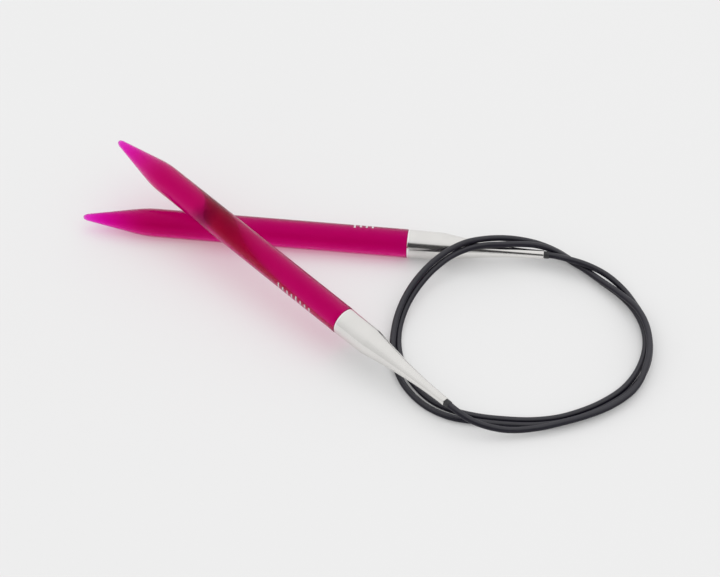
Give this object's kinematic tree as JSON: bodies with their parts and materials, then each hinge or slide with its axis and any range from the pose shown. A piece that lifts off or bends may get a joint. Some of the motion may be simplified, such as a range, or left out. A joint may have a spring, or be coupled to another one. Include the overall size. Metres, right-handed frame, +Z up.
{
  "type": "circular knitting needle",
  "caption": "Circular knitting needle: translucent magenta tips with metal ferrules joined by a thin dark cable, lying coiled with one needle across the other.",
  "frame": {"origin": "on the table plane under the centre of the object's box", "axes": "+Z up from the table; +X along the longest extent, from the needle points towards the coil; +Y away from the front needle's mouth"},
  "size_m": [0.1571, 0.0998, 0.0178],
  "materials": {
    "acrylic": "translucent magenta acrylic, satin polished",
    "ferrule_metal": "satin turned metal",
    "crimp_steel": "swaged steel",
    "collar_black": "matt black",
    "cable_nylon": "satin charcoal nylon jacket",
    "wire_steel": "drawn steel wire"
  },
  "bodies": {
    "coil": {"coil_jacket_1": "cable_nylon", "coil_jacket_2": "cable_nylon", "coil_jacket_3": "cable_nylon", "coil_jacket_4": "cable_nylon", "coil_jacket_5": "cable_nylon", "coil_jacket_6": "cable_nylon", "coil_jacket_7": "cable_nylon", "coil_wire": "wire_steel", "rear_tail": "cable_nylon", "rear_tail_wire": "wire_steel", "rear_crimp": "crimp_steel", "rear_collar": "collar_black"},
    "rear_needle": {"rear_shaft": "acrylic", "rear_ferrule": "ferrule_metal"},
    "link_6": {"link_6_jacket": "cable_nylon", "link_6_wire": "wire_steel"},
    "link_5": {"link_5_jacket": "cable_nylon", "link_5_wire": "wire_steel"},
    "link_4": {"link_4_jacket": "cable_nylon", "link_4_wire": "wire_steel"},
    "link_3": {"link_3_jacket": "cable_nylon", "link_3_wire": "wire_steel"},
    "link_2": {"link_2_jacket": "cable_nylon", "link_2_wire": "wire_steel"},
    "link_1": {"link_1_jacket": "cable_nylon", "link_1_wire": "wire_steel", "front_tail": "cable_nylon", "front_tail_wire": "wire_steel", "front_crimp": "crimp_steel", "front_collar": "collar_black"},
    "front_needle": {"front_shaft": "acrylic", "front_ferrule": "ferrule_metal"}
  },
  "joints": [
    {"name": "rear_swivel", "type": "hinge", "parent": "coil", "child": "rear_needle", "pos_m": [0.05046, 0.01496, 0.004], "axis": [0.9929, -0.1186, 0], "continuous": true},
    {"name": "uncoil", "type": "hinge", "parent": "coil", "child": "link_6", "pos_m": [0.07674, -0.01208, 0.00378], "axis": [0, 0, 1], "range_deg": [0, 22]},
    {"name": "uncoil_second", "type": "hinge", "parent": "link_6", "child": "link_5", "pos_m": [0.07613, -0.02502, 0.00362], "axis": [0, 0, 1], "range_deg": [0, 22]},
    {"name": "uncoil_third", "type": "hinge", "parent": "link_5", "child": "link_4", "pos_m": [0.07012, -0.03675, 0.0024], "axis": [0, 0, 1], "range_deg": [0, 22]},
    {"name": "lift", "type": "hinge", "parent": "link_4", "child": "link_3", "pos_m": [0.05918, -0.04381, 0.00225], "axis": [-0.5049, 0.8632, 0], "range_deg": [0, 16]},
    {"name": "uncoil_fourth", "type": "hinge", "parent": "link_3", "child": "link_2", "pos_m": [0.0473, -0.04773, 0.00198], "axis": [0, 0, 1], "range_deg": [0, 22]},
    {"name": "lift_second", "type": "hinge", "parent": "link_2", "child": "link_1", "pos_m": [0.03459, -0.04889, 0.00274], "axis": [0.1956, 0.9807, 0], "range_deg": [0, 16]},
    {"name": "front_swivel", "type": "hinge", "parent": "link_1", "child": "front_needle", "pos_m": [0.02176, -0.04266, 0.00604], "axis": [0.6998, -0.7109, -0.0706], "continuous": true}
  ]
}
